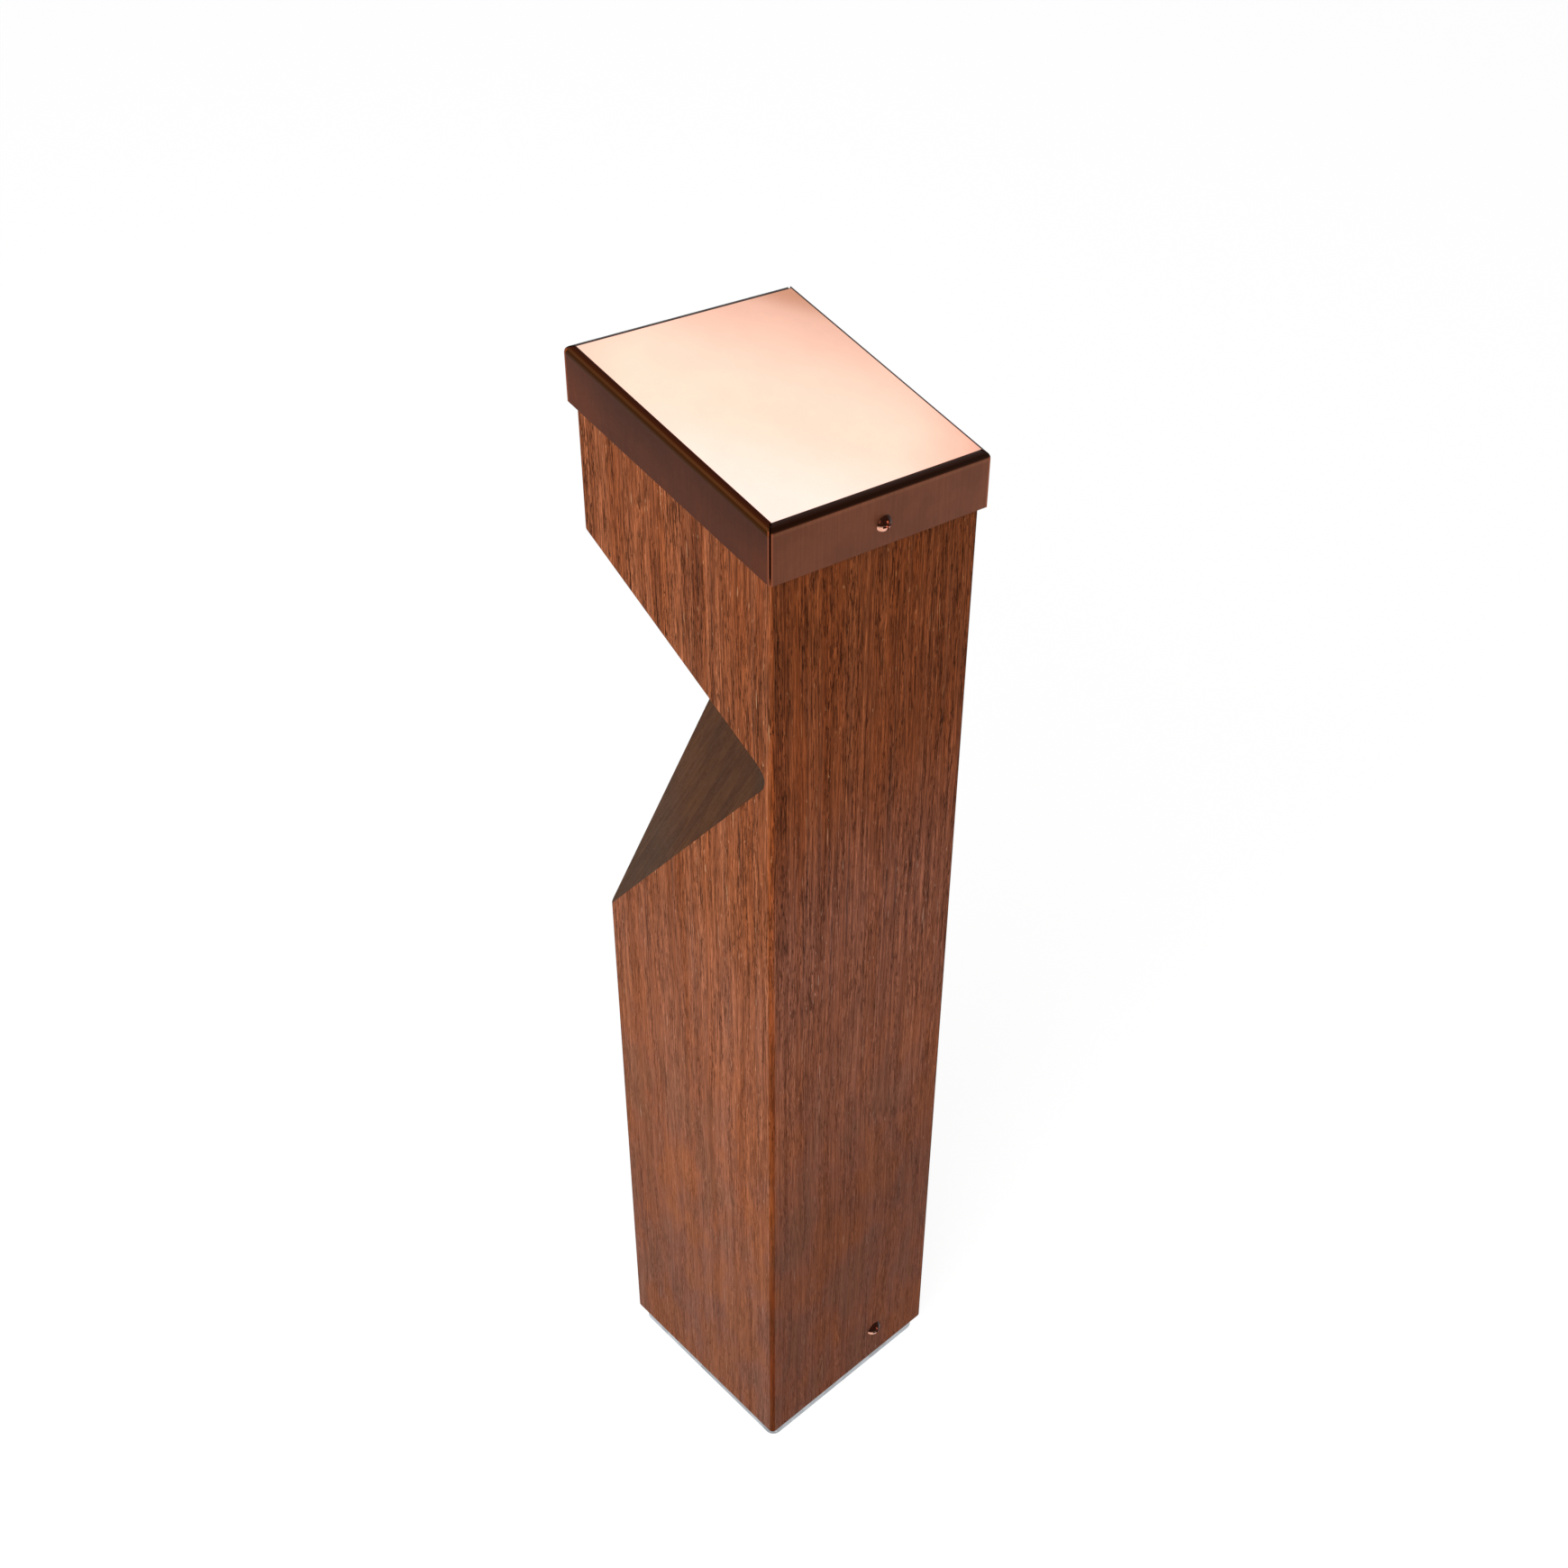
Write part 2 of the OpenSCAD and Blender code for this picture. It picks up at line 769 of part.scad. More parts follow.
module terminal_block() {
    color("white")
        in_diagonal()
            difference() {
                translate([block_x, block_y, chamber_z]) cube([block_l, block_w, block_h]);
                for (y = pole_y) {
                    translate([block_x - cut_over, y, link_z])
                        rotate([0, 90, 0])
                            cylinder(d = block_w / 3.5, h = block_l * 0.6);
                    translate([block_x + block_l / 2, y, link_z])
                        cylinder(d = block_w / 3, h = block_h);
                }
            }
}

module terminal_screws() {
    color("goldenrod")
        in_diagonal()
            for (y = pole_y)
                translate([block_x + block_l / 2, y, link_z])
                    difference() {
                        cylinder(d = block_w / 3, h = block_h * 0.4);
                        translate([-block_w / 2, -block_w / 28, block_h * 0.3])
                            cube([block_w, block_w / 14, block_h]);
                    }
}

// Ground plate and spigot

module ground_plate() {
    color("lightsteelblue")
        difference() {
            linear_extrude(height = plate_t) soft_square([plate_w, plate_w], arris_r * 2);
            for (i = corner_signs, j = corner_signs)
                translate([i * anchor_pitch / 2, j * anchor_pitch / 2, plate_t])
                    flush_hole(anchor_hole_d - 2 * fit, plate_t + cut_over);
            in_bore() translate([0, 0, -cut_over]) cylinder(d = cable_hole_d, h = plate_t + 2 * cut_over);
        }
}

module spigot_tube() {
    color("lightsteelblue")
        difference() {
            in_bore() translate([0, 0, plate_t]) ring(spigot_d, spigot_d - 2 * spigot_wall, spigot_l);
            on_back_faces(-bore_offset, lock_z, post_w / 2)
                translate([0, 0, -lock_screw_l - cut_over]) cylinder(d = lock_screw_d, h = 2 * lock_screw_l);
        }
}

module spigot_weld() {
    r = spigot_d / 2;
    color("slategray")
        in_bore()
            translate([0, 0, plate_t])
                rotate_extrude()
                    polygon([[r, 0], [r + weld_leg, 0], [r, weld_leg]]);
}

module foot_gasket() {
    color("dimgray")
        difference() {
            translate([0, 0, plate_t])
                linear_extrude(height = foot_gasket_t)
                    soft_square([plate_w, plate_w], arris_r * 2);
            in_bore() cylinder(d = spigot_bore_d + 2 * weld_clear, h = reach);
        }
}

module cable_grommet() {
    color("black")
        in_bore()
            translate([0, 0, grommet_flange_t])
                difference() {
                    union() {
                        cylinder(d = cable_hole_d, h = plate_t - grommet_flange_t);
                        translate([0, 0, plate_t - grommet_flange_t])
                            cylinder(d = spigot_d - 2 * spigot_wall - 4 * fit, h = grommet_flange_t);
                    }
                    translate([0, 0, -cut_over]) cylinder(d = grommet_bore_d, h = plate_t + 3 * cut_over);
                }
}

module lock_screws() {
    color("sienna")
        on_back_faces(-bore_offset, lock_z, post_w / 2)
            dome_screw(lock_screw_d, lock_screw_l, lock_head_d, lock_head_h);
}

timber_post();
copper_cap();
cap_gasket();
cap_screws();
lamp_housing();
flange_seal();
lamp_screws();
thermal_pad();
led_board();
led_emitter();
board_screws();
reflector();
glass_seal();
front_glass();
front_ring();
ring_screws();
gland_body();
gland_seal();
gland_nut();
lamp_lead();
led_driver();
driver_pad();
link_wires();
terminal_block();
terminal_screws();
ground_plate();
spigot_tube();
spigot_weld();
foot_gasket();
cable_grommet();
lock_screws();
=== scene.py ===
import bpy
import bmesh
import math
from mathutils import Matrix, Vector


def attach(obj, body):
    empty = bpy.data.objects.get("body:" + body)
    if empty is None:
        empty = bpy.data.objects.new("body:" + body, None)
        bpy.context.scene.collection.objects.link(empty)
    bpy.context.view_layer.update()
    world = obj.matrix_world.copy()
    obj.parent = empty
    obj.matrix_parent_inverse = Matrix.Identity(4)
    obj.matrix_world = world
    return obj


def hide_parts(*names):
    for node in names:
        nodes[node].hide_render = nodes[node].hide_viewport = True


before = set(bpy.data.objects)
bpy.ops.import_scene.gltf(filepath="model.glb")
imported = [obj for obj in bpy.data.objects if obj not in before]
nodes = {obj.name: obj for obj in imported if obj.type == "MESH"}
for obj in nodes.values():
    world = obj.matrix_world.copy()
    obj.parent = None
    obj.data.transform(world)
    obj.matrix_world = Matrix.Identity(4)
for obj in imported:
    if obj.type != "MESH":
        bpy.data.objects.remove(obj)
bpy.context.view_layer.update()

MM = 0.001
PER_MM = 1000.0
SQRT_HALF = math.sqrt(0.5)

# Camera of the photograph: where it stands, how it is turned and its focal length in pixels
CAMERA_AT = Vector((411.72, 450.08, 923.69)) * MM
CAMERA_AZIMUTH = math.radians(137.409)
CAMERA_ELEVATION = math.radians(43.959)
CAMERA_ROLL = math.radians(0.170)
FOCAL_PX = 2648.8
FRAME_PX = 1740
SENSOR_MM = 36.0
CLIP_START = 0.01

# Floor and sky: the greys light the part, and the whites are for the rays that look at the backdrop
FLOOR_HALF = 8.0
FLOOR_GREY = 0.80
FLOOR_WHITE = 1.22
FLOOR_WHITE_SHARE = 0.75
SKY_GREY = 0.22
SKY_WHITE = 1.0

# Points in metres that the two softboxes face
POST_MIDDLE = (0, 0, 0.4)
TOP_MIDDLE = (0, 0, 0.5)

# Sizes that the finishes follow, in millimetres, the first two from the frame
HALF_POST = nodes["timber_post"].dimensions.x / 2 * PER_MM
HALF_CAP = nodes["copper_cap"].dimensions.x / 2 * PER_MM
HALF_SEAM = 0.3
CAP_OVER_WOOD = 20.0
VALLEY_Z = 397.0

# In each of the pairs that follow, a change in a finish begins at the first value and ends at the second

# Values of a noise, from one tone to the next
WIDE = (0.30, 0.70)
FIBROUS = (0.32, 0.68)
NARROW = (0.35, 0.65)

# Shares of a face's normal: the faces across X, the cut faces, the flat of the cap, a screw's upper half
ACROSS_X = (0.5, 0.9)
CUT = (0.22, 0.40)
FLAT = (0.9982, 0.9996)
UPPER_HALF = (-0.04, 0.22)

# Heights on the wood: its grain gets crisp, its shadows come in, and its patches come in further down
CRISP_Z = (60, 430)
SHADOWS_Z = (330, 420)
PATCHES_Z = (330, 120)

# Heights on the cut faces: painted grey shade at the valley, painted grey shade again at the lower rim,
# and paler there
VALLEY_SHADE_Z = (VALLEY_Z - 16, VALLEY_Z - 3)
RIM_SHADE_Z = (VALLEY_Z - 55, VALLEY_Z - 90)
RIM_PALER_SHADE_Z = (VALLEY_Z - 40, VALLEY_Z - 90)

# Millimetres on the post: rounded edges by X plus Y, the inside by the larger one, painted shade under the
# cap by depth
ROUNDED = (2 * HALF_POST - 1.9, 2 * HALF_POST - 1.4)
INSIDE = (HALF_POST - 0.9, HALF_POST - 1.3)
SHADE_UNDER_CAP = (CAP_OVER_WOOD, CAP_OVER_WOOD - 0.8)

# Millimetres on the cap: its polish beside the near and the far fold, where the painted dark bands begin,
# the painted light on its flaps, its seams and rubbed edges
POLISH_NEAR_Y = (HALF_CAP - 2.50, HALF_CAP - 2.76)
POLISH_FAR_Y = (2.82 - HALF_CAP, 3.12 - HALF_CAP)
FLAP_PAINTED_LIGHT_Y = (26, 46)
FLAP_PAINTED_LIGHT_DEPTH = (3, 17)
BESIDE_SEAM = (HALF_SEAM + 0.55, HALF_SEAM + 0.40)
BELOW_FOLD = (1.2, 1.6)

# How far the wood's grain drifts, and the direction across its bands
DRIFT_MM = (6, 6, 0)
BANDS_ACROSS = (0.92, 0.40, 0)

# Noises along the wood's grain: waves to the millimetre across it and along it, detail, roughness and seed
WOOD_NOISES = {
    "broad": (0.11, 0.0030, 3, 0.55, 1.3),
    "streaks": (0.42, 0.0048, 3, 0.60, 5.9),
    "fibres": (2.5, 0.070, 3, 0.75, 2.2),
    "threads": (1.30, 0.0100, 2, 0.70, 11.5),
    "pores": (2.9, 0.22, 2, 0.60, 9.4),
    "long_pores": (2.5, 0.050, 3, 0.65, 4.6),
    "veins": (1.05, 0.015, 1, 0.50, 25.1),
    "breaks": (1.2, 0.110, 2, 0.60, 19.2),
    "mottle": (0.050, 0.022, 3, 0.60, 31.4),
    "patches": (0.30, 0.018, 2, 0.50, 15.8),
    "shadows": (0.085, 0.0045, 2, 0.50, 21.3),
    "flecks": (1.5, 0.22, 1, 0.50, 6.3),
    "dashes": (1.1, 0.055, 1, 0.50, 14.2),
}

# Metals: light and dark tone on a screen, roughness, then in millimetres clouds, grain and its depth
METALS = {
    "lamp_copper": ((226, 152, 122), (186, 116, 88), 0.26, 8.0, 0.5, 0.01),
    "weld_metal": ((176, 178, 180), (140, 142, 146), 0.46, 1.6, 0.5, 0.10),
    "stainless": ((204, 204, 202), (172, 172, 172), 0.28, 3.0, 0.3, 0.01),
    "nickel_brass": ((200, 196, 186), (168, 162, 150), 0.25, 4.0, 0.4, 0.01),
    "terminal_brass": ((214, 186, 120), (176, 146, 86), 0.30, 2.0, 0.3, 0.01),
    "bright_reflector": ((244, 244, 242), (234, 234, 232), 0.12, 9.0, 0.8, 0.004),
    "dark_anodised": ((62, 60, 58), (44, 43, 42), 0.42, 7.0, 0.25, 0.01),
}

# Rubber, plastic and pads: light and dark tone, roughness, then in millimetres the grain and its depth
SOFTS = {
    "black_rubber": ((44, 44, 44), (28, 28, 28), 0.72, 0.5, 0.03),
    "grommet_rubber": ((52, 51, 50), (34, 33, 33), 0.66, 0.5, 0.03),
    "cable_jacket": ((46, 46, 48), (32, 32, 33), 0.50, 0.8, 0.02),
    "wire_insulation": ((150, 46, 36), (128, 36, 30), 0.42, 0.8, 0.01),
    "driver_case": ((62, 62, 65), (50, 50, 53), 0.46, 0.6, 0.02),
    "terminal_plastic": ((222, 224, 220), (206, 208, 204), 0.44, 0.6, 0.02),
    "grey_pad": ((146, 150, 156), (120, 124, 130), 0.80, 0.4, 0.04),
}

# Glass and silicone: tint on a screen, roughness and index of refraction
CLEARS = {
    "clear_silicone": ((240, 240, 236), 0.22, 1.41),
    "clear_glass": ((246, 252, 248), 0.02, 1.50),
}

# Nodes whose sharp edges are eased, and by how many millimetres
EASED_MM = {"timber_post": 0.35, "copper_cap": 0.28, "front_ring": 0.20, "ground_plate": 0.40}
BEVEL_STEPS = 2
MERGE_DISTANCE = 0.00001
FLAT_ANGLE = math.radians(0.4)
SHARP_ANGLE = math.radians(32)
SMOOTH_ANGLE = math.radians(35)
EDGE_SLOT = 1
EDGE_MARK = "edge"
IMPORTED_SHADING = ("custom_normal", "sharp_edge", "sharp_face")


def top_plane():
    """Normal of the cap's sloping top, and its distance from the origin in millimetres"""
    upwards = [face for face in nodes["copper_cap"].data.polygons if face.normal.z > 0]
    widest = max(upwards, key=lambda face: face.area)
    return tuple(widest.normal), widest.center.dot(widest.normal) * PER_MM


def screen(red, green, blue):
    """A colour as it looks on a screen, 0 to 255, as the linear values that a shader takes"""
    def linear(value):
        share = value / 255
        return share / 12.92 if share <= 0.04045 else ((share + 0.055) / 1.055) ** 2.4
    return (linear(red), linear(green), linear(blue), 1.0)


TOP_NORMAL, TOP_DISTANCE = top_plane()


# Camera, floor and lights


def link_new(name, data):
    piece = bpy.data.objects.new(name, data)
    bpy.context.scene.collection.objects.link(piece)
    return piece


def make_camera():
    """The photograph's camera, turned by its azimuth, elevation and roll"""
    level_share = math.cos(CAMERA_ELEVATION)
    back = Vector((
        math.sin(CAMERA_AZIMUTH) * level_share,
        -math.cos(CAMERA_AZIMUTH) * level_share,
        math.sin(CAMERA_ELEVATION)))
    level = Vector((0, 0, 1)).cross(back).normalized()
    upright = back.cross(level)
    right = math.cos(CAMERA_ROLL) * level + math.sin(CAMERA_ROLL) * upright
    up = math.cos(CAMERA_ROLL) * upright - math.sin(CAMERA_ROLL) * level
    camera = link_new("camera", bpy.data.cameras.new("camera"))
    turn = Matrix((right, up, back)).transposed().to_4x4()
    camera.matrix_world = Matrix.Translation(CAMERA_AT) @ turn
    camera.data.sensor_width = SENSOR_MM
    camera.data.lens = SENSOR_MM * FOCAL_PX / FRAME_PX
    camera.data.clip_start = CLIP_START
    bpy.context.scene.camera = camera


def backdrop_rays(tree):
    """1 for the rays that look at the backdrop: straight from the camera, or mirrored, or through glass"""
    path = tree.nodes.new("ShaderNodeLightPath")
    seen = path.outputs["Is Camera Ray"]
    for ray in ("Is Glossy Ray", "Is Transmission Ray"):
        either = tree.nodes.new("ShaderNodeMath")
        either.operation = "MAXIMUM"
        tree.links.new(seen, either.inputs[0])
        tree.links.new(path.outputs[ray], either.inputs[1])
        seen = either.outputs[0]
    return seen


def mixed(tree, factor, plain, seen):
    """The plain shader, which gives way to the seen one as the factor goes to 1"""
    mix = tree.nodes.new("ShaderNodeMixShader")
    tree.links.new(factor, mix.inputs["Fac"])
    tree.links.new(plain.outputs[0], mix.inputs[1])
    tree.links.new(seen.outputs[0], mix.inputs[2])
    return mix.outputs[0]


def make_floor():
    """A pale floor that keeps the shadow, and that seen or mirrored is close to white"""
    mesh = bpy.data.meshes.new("floor")
    corners = [(x * FLOOR_HALF, y * FLOOR_HALF, 0) for x, y in ((-1, -1), (1, -1), (1, 1), (-1, 1))]
    mesh.from_pydata(corners, [], [(0, 1, 2, 3)])
    floor = link_new("floor", mesh)
    material = bpy.data.materials.new("floor")
    material.use_nodes = True
    tree = material.node_tree
    tree.nodes.clear()
    paint = tree.nodes.new("ShaderNodeBsdfDiffuse")
    paint.inputs["Color"].default_value = (FLOOR_GREY, FLOOR_GREY, FLOOR_GREY, 1)
    glow = tree.nodes.new("ShaderNodeEmission")
    glow.inputs["Strength"].default_value = FLOOR_WHITE
    share = tree.nodes.new("ShaderNodeMath")
    share.operation = "MULTIPLY"
    share.inputs[1].default_value = FLOOR_WHITE_SHARE
    tree.links.new(backdrop_rays(tree), share.inputs[0])
    output = tree.nodes.new("ShaderNodeOutputMaterial")
    tree.links.new(mixed(tree, share.outputs[0], paint, glow), output.inputs["Surface"])
    mesh.materials.append(material)


def make_sky():
    """Grey light on the object, and white for the rays that look at the backdrop"""
    world = bpy.data.worlds.new("world")
    bpy.context.scene.world = world
    world.use_nodes = True
    tree = world.node_tree
    light = tree.nodes["Background"]
    light.inputs["Color"].default_value = (SKY_GREY, SKY_GREY, SKY_GREY, 1)
    seen = tree.nodes.new("ShaderNodeBackground")
    seen.inputs["Color"].default_value = (SKY_WHITE, SKY_WHITE, SKY_WHITE, 1)
    both = mixed(tree, backdrop_rays(tree), light, seen)
    tree.links.new(both, tree.nodes["World Output"].inputs["Surface"])
    bpy.context.scene.view_settings.view_transform = "Standard"


def softbox(name, towards, target, distance, size, radiance):
    """An area light that lies towards a direction from the target, as bright as its radiance says"""
    width, height = size
    lamp = bpy.data.lights.new(name, "AREA")
    lamp.shape = "RECTANGLE"
    lamp.size = width
    lamp.size_y = height
    lamp.energy = math.pi * radiance * width * height
    light = link_new(name, lamp)
    direction = Vector(towards).normalized()
    light.location = Vector(target) + distance * direction
    light.rotation_mode = "QUATERNION"
    light.rotation_quaternion = direction.to_track_quat("Z", "Y")
    light.visible_camera = False


# Node recipes


class Recipe:
    """A material with a plain shader, and short calls that add nodes to it"""

    def __init__(self, name):
        self.material = bpy.data.materials.new(name)
        self.material.use_nodes = True
        self.tree = self.material.node_tree
        self.shader = self.tree.nodes["Principled BSDF"]
        self.bumped = None
        coordinates = self.tree.nodes.new("ShaderNodeTexCoord")
        self.normal = coordinates.outputs["Normal"]
        self.place = self.vector("MULTIPLY", coordinates.outputs["Object"], (PER_MM,) * 3)
        self.x, self.y, self.z = self.split(self.place)

    def feed(self, socket, value):
        if isinstance(value, bpy.types.NodeSocket):
            self.tree.links.new(value, socket)
        else:
            socket.default_value = value

    def vector(self, operation, a, b=None, c=None, output=0):
        node = self.tree.nodes.new("ShaderNodeVectorMath")
        node.operation = operation
        for socket, value in zip(node.inputs, (a, b, c)):
            if value is not None:
                self.feed(socket, value)
        return node.outputs[output]

    def dot(self, a, b):
        return self.vector("DOT_PRODUCT", a, b, output=1)

    def split(self, value):
        node = self.tree.nodes.new("ShaderNodeSeparateXYZ")
        self.feed(node.inputs[0], value)
        return node.outputs[0], node.outputs[1], node.outputs[2]

    def join(self, x, y, z):
        node = self.tree.nodes.new("ShaderNodeCombineXYZ")
        for socket, value in zip(node.inputs, (x, y, z)):
            self.feed(socket, value)
        return node.outputs[0]

    def number(self, operation, a, b=0.0):
        node = self.tree.nodes.new("ShaderNodeMath")
        node.operation = operation
        self.feed(node.inputs[0], a)
        self.feed(node.inputs[1], b)
        return node.outputs[0]

    def plus(self, a, b):
        return self.number("ADD", a, b)

    def minus(self, a, b):
        return self.number("SUBTRACT", a, b)

    def larger(self, a, b):
        return self.number("MAXIMUM", a, b)

    def absolute(self, value):
        return self.number("ABSOLUTE", value)

    def product(self, *factors):
        result = factors[0]
        for factor in factors[1:]:
            result = self.number("MULTIPLY", result, factor)
        return result

    def depth(self):
        """Millimetres below the cap's sloping top, square to it"""
        return self.minus(TOP_DISTANCE, self.dot(self.place, TOP_NORMAL))

    def noise(self, per_mm, detail=2.0, roughness=0.5, seed=0.0, place=None, output=0):
        """Smooth noise with so many waves to the millimetre along X, Y and Z"""
        node = self.tree.nodes.new("ShaderNodeTexNoise")
        stretched = self.vector("MULTIPLY_ADD", place or self.place, per_mm, (seed, seed, seed))
        self.feed(node.inputs["Vector"], stretched)
        node.inputs["Scale"].default_value = 1.0
        node.inputs["Detail"].default_value = detail
        node.inputs["Roughness"].default_value = roughness
        return node.outputs[output]

    def even_noise(self, per_mm, **settings):
        """Smooth noise that is as fine along X as along Y and Z"""
        return self.noise((per_mm, per_mm, per_mm), **settings)

    def fade(self, value, start, end, low=0.0, high=1.0):
        """A smooth step from low at start to high at end"""
        node = self.tree.nodes.new("ShaderNodeMapRange")
        node.interpolation_type = "SMOOTHSTEP"
        for socket, number in zip(node.inputs, (value, start, end, low, high)):
            self.feed(socket, number)
        return node.outputs[0]

    def blend(self, factor, a, b, mode="MIX"):
        node = self.tree.nodes.new("ShaderNodeMix")
        node.data_type = "RGBA"
        node.blend_type = mode
        self.feed(node.inputs["Factor"], factor)
        self.feed(node.inputs[6], a)
        self.feed(node.inputs[7], b)
        return node.outputs[2]

    def shade(self, colour, factor):
        """The colour times a number"""
        return self.blend(1.0, colour, self.join(factor, factor, factor), "MULTIPLY")

    def tint(self, colour, factors):
        """The colour times a number for each of red, green and blue"""
        return self.blend(1.0, colour, (*factors, 1.0), "MULTIPLY")

    def contrast(self, colour, change, amount):
        """The colour, lighter or darker by a share of itself"""
        return self.shade(colour, self.plus(1.0, self.product(change, amount)))

    def layers(self, value, colour, *steps):
        """The first colour, then each step's own one as the value goes from its start to its end"""
        for start, end, following in steps:
            colour = self.blend(self.fade(value, start, end), colour, following)
        return colour

    def tint_layers(self, value, colour, factors, *steps):
        """The same for one colour, where the steps hold tints instead of colours"""
        following = [(start, end, self.tint(colour, tints)) for start, end, tints in steps]
        return self.layers(value, self.tint(colour, factors), *following)

    def mark(self, name):
        node = self.tree.nodes.new("ShaderNodeAttribute")
        node.attribute_name = name
        return node.outputs["Fac"]

    def bump(self, height, depth_mm, strength=1.0):
        """Adds its relief to the ones before it"""
        node = self.tree.nodes.new("ShaderNodeBump")
        node.inputs["Strength"].default_value = strength
        node.inputs["Distance"].default_value = depth_mm * MM
        self.feed(node.inputs["Height"], height)
        if self.bumped:
            self.feed(node.inputs["Normal"], self.bumped)
        self.bumped = node.outputs[0]

    def set(self, **inputs):
        """Feeds the shader: an underscore in a name stands for a space"""
        for name, value in inputs.items():
            self.feed(self.shader.inputs[name.replace("_", " ")], value)
        if self.bumped:
            self.feed(self.shader.inputs["Normal"], self.bumped)
        return self.material


# Hardwood of the post


def wood_noises(r):
    """The wood's noises by name, along a grain that drifts a little to the sides"""
    drift = r.noise((0.014, 0.014, 0.0065), detail=2, seed=3.1, output=1)
    centred = r.vector("SUBTRACT", drift, (0.5, 0.5, 0.5))
    grain = r.vector("MULTIPLY_ADD", centred, DRIFT_MM, r.place)
    across_bands = r.join(r.dot(grain, BANDS_ACROSS), 0, r.z)
    wood = {"bands": r.noise((0.95, 0, 0.0048), detail=5, roughness=0.68, seed=7.7, place=across_bands)}
    for name, (across, along, detail, roughness, seed) in WOOD_NOISES.items():
        per_mm = (across, across, along)
        wood[name] = r.noise(per_mm, detail=detail, roughness=roughness, seed=seed, place=grain)
    return wood


def wood_pores(r, wood):
    """1 in the open pores and in the fine broken veins"""
    pores = r.larger(r.fade(wood["pores"], 0.44, 0.37), r.fade(wood["long_pores"], 0.43, 0.37))
    pores = r.product(pores, r.fade(wood["patches"], 0.36, 0.58, 0.35, 1.0))
    veins = r.fade(r.absolute(r.minus(wood["veins"], 0.5)), 0.040, 0.012)
    broken = r.fade(wood["breaks"], 0.42, 0.56)
    veins = r.product(veins, broken, r.fade(wood["patches"], 0.30, 0.60, 0.4, 0.9))
    return r.larger(pores, veins)


def wood_figure(r, wood, pores, on_x):
    """Colour along the grain: bands, streaks, fibres, pores and pale flecks, softer low down"""
    crisp = r.fade(r.z, *CRISP_Z, 0.42, 1.0)
    band = r.minus(r.fade(wood["bands"], 0.26, 0.74), 0.5)
    colour = r.blend(r.plus(0.5, r.product(band, crisp)), screen(126, 64, 34), screen(182, 107, 69))
    colour = r.blend(r.product(r.fade(wood["broad"], 0.40, 0.68), 0.45), colour, screen(158, 82, 42))
    streaks = r.product(r.fade(wood["streaks"], 0.56, 0.72), crisp, 0.52)
    colour = r.blend(streaks, colour, screen(96, 66, 52))
    shadows = r.product(r.fade(wood["shadows"], 0.52, 0.66), on_x, r.fade(r.z, *SHADOWS_Z), 0.42)
    colour = r.blend(shadows, colour, screen(98, 50, 30))
    colour = r.contrast(colour, r.fade(wood["fibres"], *FIBROUS, -0.42, 0.34), crisp)
    colour = r.contrast(colour, r.fade(wood["threads"], *FIBROUS, -0.27, 0.23), crisp)
    colour = r.blend(r.product(pores, crisp, 0.90), colour, screen(46, 21, 10))
    pale = r.larger(r.fade(wood["flecks"], 0.745, 0.78), r.fade(wood["dashes"], 0.745, 0.775))
    colour = r.blend(r.product(pale, crisp, 0.55), colour, screen(226, 166, 122))

    # Low down, warm and cool patches
    low = r.fade(r.z, *PATCHES_Z)
    warm = r.product(r.fade(wood["mottle"], 0.44, 0.62), low)
    colour = r.blend(warm, colour, r.tint(colour, (1.10, 1.02, 0.80)))
    cool = r.product(r.fade(wood["mottle"], 0.50, 0.36), low)
    return r.blend(cool, colour, r.tint(colour, (0.90, 0.99, 0.98)))


def wood_tints_and_painted_light(r, colour, on_x):
    """By its height, the wood is red under the cap, paler further down, and dark again near the ground;
    the faces across X and across Y take their own tints as painted light
    """
    # Painted light: the faces across Y and the faces across X take their own tints
    y_faces_painted_light = r.tint_layers(
        r.z, colour, (0.98, 1.19, 1.90),
        (120, 235, (1.34, 1.57, 2.32)),
        (300, 390, (1.18, 1.09, 0.99)),
        (400, 460, (1.13, 1.02, 0.82)))
    x_faces_painted_light = r.tint_layers(
        r.z, colour, (1.01, 1.33, 2.20),
        (60, 160, (1.19, 1.45, 2.10)),
        (170, 250, (1.28, 1.52, 2.06)),
        (265, 330, (1.26, 1.37, 1.50)),
        (420, 460, (1.18, 1.22, 1.27)))
    return r.blend(on_x, y_faces_painted_light, x_faces_painted_light)


def wood_edges(r, colour):
    """The rounded upright edges are warmer low down, a painted light, and the wood under the cap is
    painted dark as shade, which shows at the seams of the cap
    """
    reach = r.plus(r.absolute(r.x), r.absolute(r.y))
    rounded = r.fade(reach, *ROUNDED)
    # Painted light: the rounded edges take a warmer tint by height
    worn_and_painted_light = r.tint_layers(
        r.z, colour, (0.68, 0.40, 0.17),
        (75, 140, (0.72, 0.53, 0.29)),
        (160, 240, (0.68, 0.48, 0.26)),
        (250, 345, (1.00, 0.87, 0.66)),
        (380, 440, (0.88, 0.84, 0.78)))
    colour = r.blend(rounded, colour, worn_and_painted_light)
    # Painted shade: the wood under the cap is dark, and it shows at the seams
    painted_shade_under_cap = r.fade(r.depth(), *SHADE_UNDER_CAP, 0, 0.9)
    return r.blend(painted_shade_under_cap, colour, screen(24, 12, 7))


